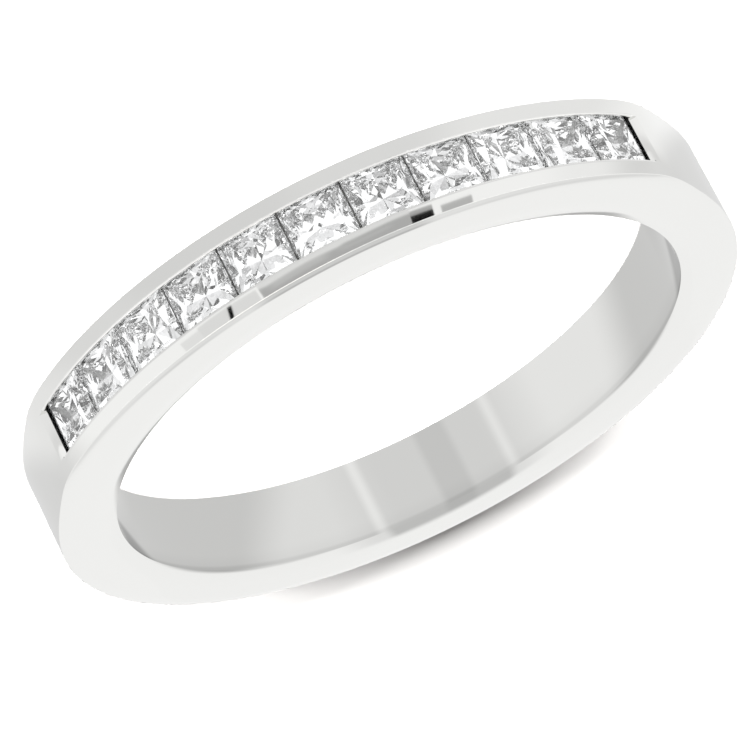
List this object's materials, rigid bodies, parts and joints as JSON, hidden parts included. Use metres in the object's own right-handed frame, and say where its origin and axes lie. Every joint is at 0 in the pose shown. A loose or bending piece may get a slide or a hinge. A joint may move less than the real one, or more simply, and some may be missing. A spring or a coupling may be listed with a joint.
{
  "type": "princess cut channel set band",
  "caption": "Finger ring in polished white metal, with a row of square cut clear stones channel set flush across its flatter head.",
  "frame": {"origin": "on the finger bore's axis, in the side face that the ring rests on", "axes": "+Z along the finger bore's axis, up as the ring lies on its side; -Y towards the middle of the stone row; +X to the right seen from the row"},
  "size_m": [0.0208, 0.0208, 0.0026],
  "materials": {
    "white_gold": "mirror polished white gold",
    "diamond": "clear cut stone with polished facets"
  },
  "bodies": {
    "root": {"band": "white_gold", "stone_01": "diamond", "stone_02": "diamond", "stone_03": "diamond", "stone_04": "diamond", "stone_05": "diamond", "stone_06": "diamond", "stone_07": "diamond", "stone_08": "diamond", "stone_09": "diamond", "stone_10": "diamond", "stone_11": "diamond"}
  },
  "joints": []
}
